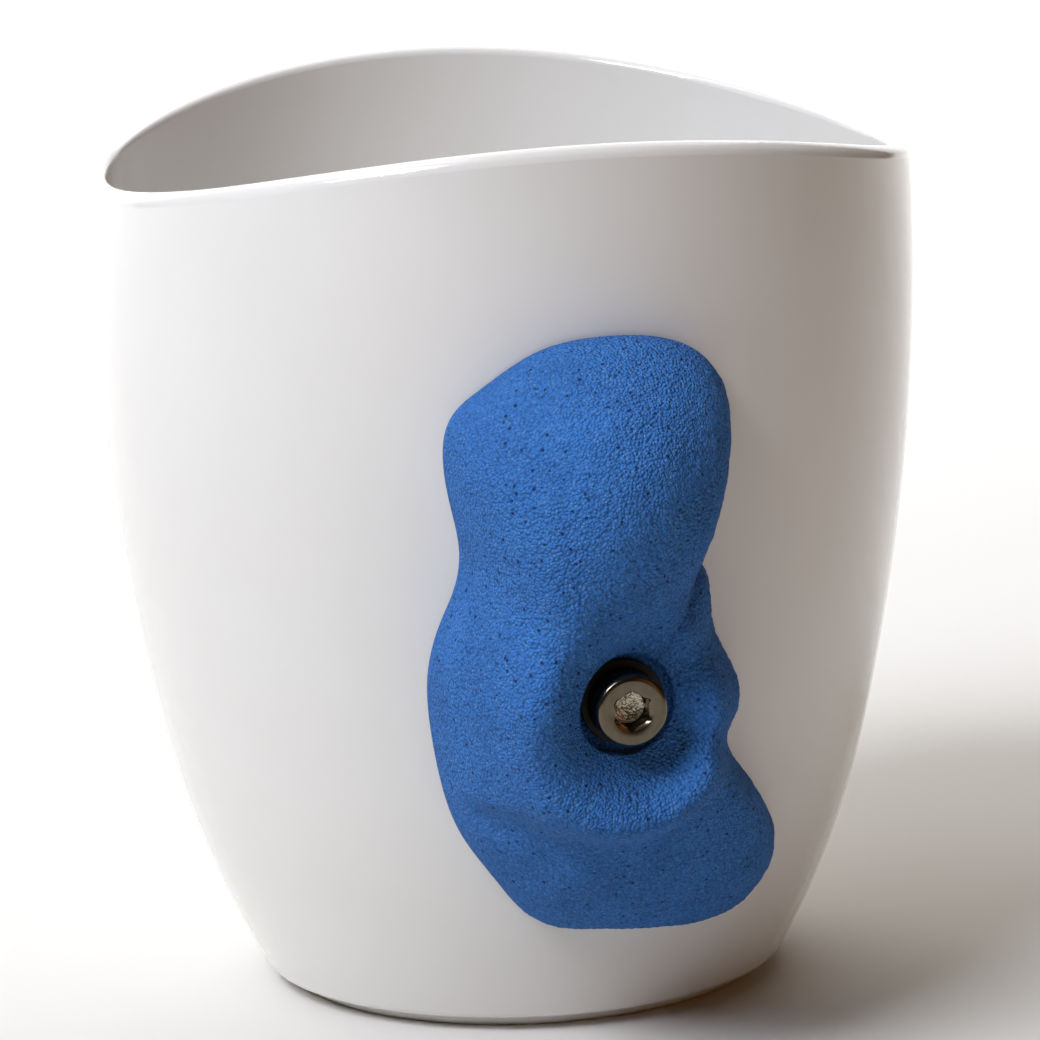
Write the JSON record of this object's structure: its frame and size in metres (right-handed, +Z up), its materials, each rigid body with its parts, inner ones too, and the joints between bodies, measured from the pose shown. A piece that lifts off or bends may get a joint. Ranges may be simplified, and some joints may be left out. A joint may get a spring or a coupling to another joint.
{
  "type": "mug with climbing hold handle",
  "caption": "Tapered porcelain mug with a wavy rim; its handle is a rough blue resin climbing hold bolted on by one recessed socket-head screw.",
  "frame": {"origin": "on the mug's axis, in the plane that the foot ring stands on", "axes": "+Z up along the mug's axis; the climbing hold and its bolt point along -Y"},
  "size_m": [0.102, 0.1217, 0.1104],
  "materials": {
    "porcelain": "gloss",
    "epoxy": "satin",
    "brass": "satin",
    "gasket_rubber": "matte",
    "hold_resin": "matte",
    "washer_steel": "satin",
    "screw_steel": "satin"
  },
  "bodies": {
    "mug": {"mug_body": "porcelain", "insert_bond": "epoxy", "threaded_insert": "brass", "boss_gasket": "gasket_rubber"},
    "hold": {"climbing_hold": "hold_resin"},
    "washer": {"hold_washer": "washer_steel"},
    "screw": {"hold_screw": "screw_steel"}
  },
  "joints": [
    {"name": "hold_release", "type": "slide", "parent": "mug", "child": "hold", "axis": [0, -1, 0], "range_m": [0, 0.045]},
    {"name": "screw_travel", "type": "slide", "parent": "hold", "child": "washer", "axis": [0, -1, 0], "range_m": [0, 0.0056]},
    {"name": "screw_turn", "type": "hinge", "parent": "washer", "child": "screw", "pos_m": [0, -0.06413, 0.047], "axis": [0, -1, 0], "range_deg": [0, 2530]}
  ],
  "couplings": [
    {"joint": "screw_turn", "follows": "screw_travel", "rad_per_m": 7854}
  ]
}
